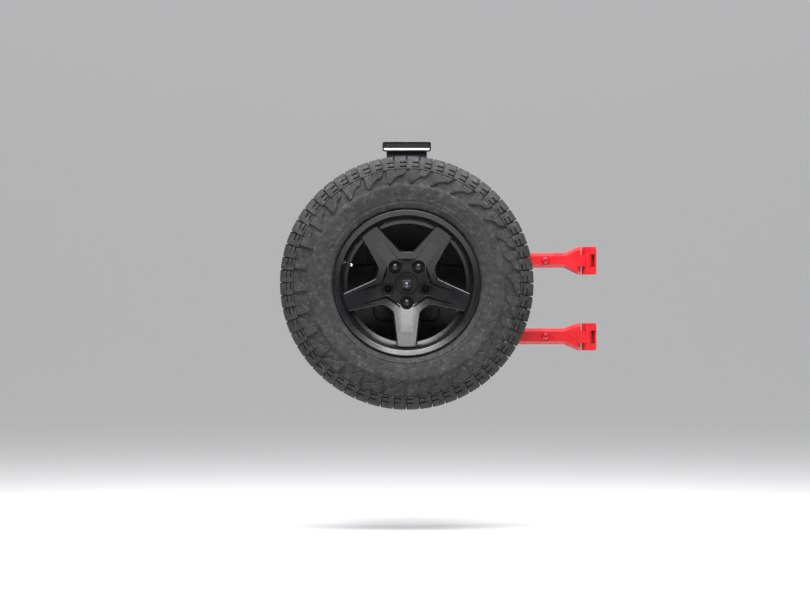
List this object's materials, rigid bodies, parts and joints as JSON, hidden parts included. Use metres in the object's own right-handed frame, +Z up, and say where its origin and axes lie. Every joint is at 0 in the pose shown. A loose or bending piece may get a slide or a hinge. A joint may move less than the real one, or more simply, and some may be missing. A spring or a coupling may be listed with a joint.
{
  "type": "spare tire carrier",
  "caption": "Black five-spoke spare wheel with off-road tyre on a hinged tailgate bracket, with red hinges, a camera in the bore and a raised brake light.",
  "frame": {"origin": "on the wheel's axis, in the plane of the tailgate skin that the carrier bolts against", "axes": "+Z up, -Y to the rear of the vehicle along the wheel's axis, +X towards the hinges"},
  "size_m": [1.0289, 0.3242, 0.8725],
  "materials": {
    "tyre": "dusty matte",
    "wheel_black": "satin black powder coat",
    "bracket_black": "satin",
    "tower_black": "matte black cast",
    "body_red": "gloss clear coat",
    "bolt_black": "black zinc",
    "nut_dark": "gloss dark plating",
    "steel": "zinc plated",
    "brass": "turned",
    "cap_metal": "polished",
    "rubber": "matte",
    "bush_nylon": "natural nylon",
    "cover_plastic": "fine grained",
    "camera_plastic": "smooth",
    "bezel_gloss": "gloss",
    "camera_glass": "clear",
    "light_black": "gloss",
    "smoked_lens": "smoked clear",
    "clear_strip": "clear prismatic",
    "board_green": "solder mask",
    "led": "clear resin"
  },
  "bodies": {
    "pillar": {"upper_pillar_bracket": "body_red", "lower_pillar_bracket": "body_red", "upper_hinge_pin": "steel", "lower_hinge_pin": "steel", "pin_rings": "steel"},
    "gate": {"upper_hinge_arm": "body_red", "lower_hinge_arm": "body_red", "upper_hinge_bush": "bush_nylon", "lower_hinge_bush": "bush_nylon", "hinge_arm_bolts": "body_red", "carrier_bracket": "bracket_black", "carrier_feet": "steel", "gate_bolts": "bolt_black", "wing_bolts": "bolt_black", "carrier_tower": "tower_black", "tower_bolts": "bolt_black", "tower_nuts": "steel", "wheel_flange": "bracket_black", "flange_screws": "steel", "wheel_studs": "steel", "carrier_cover": "cover_plastic", "cover_screws": "bolt_black", "brake_light_stalk": "bracket_black", "brake_light_housing": "light_black", "brake_light_lens": "smoked_lens", "brake_light_strip": "clear_strip", "brake_light_seal": "rubber", "brake_light_board": "board_green", "brake_light_leds": "led", "brake_light_screws": "steel", "camera_stem": "bracket_black", "camera_stem_screws": "steel", "cable_grommet": "rubber", "camera_shroud": "camera_plastic", "camera_housing": "camera_plastic", "camera_bezel": "bezel_gloss", "camera_lens": "camera_glass", "camera_screws": "bolt_black"},
    "spare_wheel": {"wheel": "wheel_black", "tyre": "tyre", "valve_body": "rubber", "valve_stem": "brass"},
    "lug_nut_1": {"lug_nut_1": "nut_dark"},
    "lug_nut_2": {"lug_nut_2": "nut_dark"},
    "lug_nut_3": {"lug_nut_3": "nut_dark"},
    "valve_cap": {"valve_cap": "cap_metal"},
    "snubbers_left": {"snubber_pad_left": "rubber", "snubber_stem_left": "steel"},
    "snubbers_right": {"snubber_pad_right": "rubber", "snubber_stem_right": "steel"}
  },
  "joints": [
    {"name": "gate_swing", "type": "hinge", "parent": "pillar", "child": "gate", "pos_m": [0.5935, -0.02, 0], "axis": [0, 0, 1], "range_deg": [0, 100]},
    {"name": "wheel_removal", "type": "slide", "parent": "gate", "child": "spare_wheel", "axis": [0, -1, 0], "range_m": [0, 0.26]},
    {"name": "lug_nut_1_unscrew", "type": "slide", "parent": "spare_wheel", "child": "lug_nut_1", "axis": [0, -1, 0], "range_m": [0, 0.045]},
    {"name": "lug_nut_2_unscrew", "type": "slide", "parent": "spare_wheel", "child": "lug_nut_2", "axis": [0, -1, 0], "range_m": [0, 0.045]},
    {"name": "lug_nut_3_unscrew", "type": "slide", "parent": "spare_wheel", "child": "lug_nut_3", "axis": [0, -1, 0], "range_m": [0, 0.045]},
    {"name": "valve_cap_pull", "type": "slide", "parent": "spare_wheel", "child": "valve_cap", "axis": [0.5855, -0.788, -0.1903], "range_m": [0, 0.02]},
    {"name": "snubbers_left_travel", "type": "slide", "parent": "gate", "child": "snubbers_left", "axis": [0, 1, 0], "range_m": [0, 0.004]},
    {"name": "snubbers_right_travel", "type": "slide", "parent": "gate", "child": "snubbers_right", "axis": [0, 1, 0], "range_m": [0, 0.004]}
  ]
}
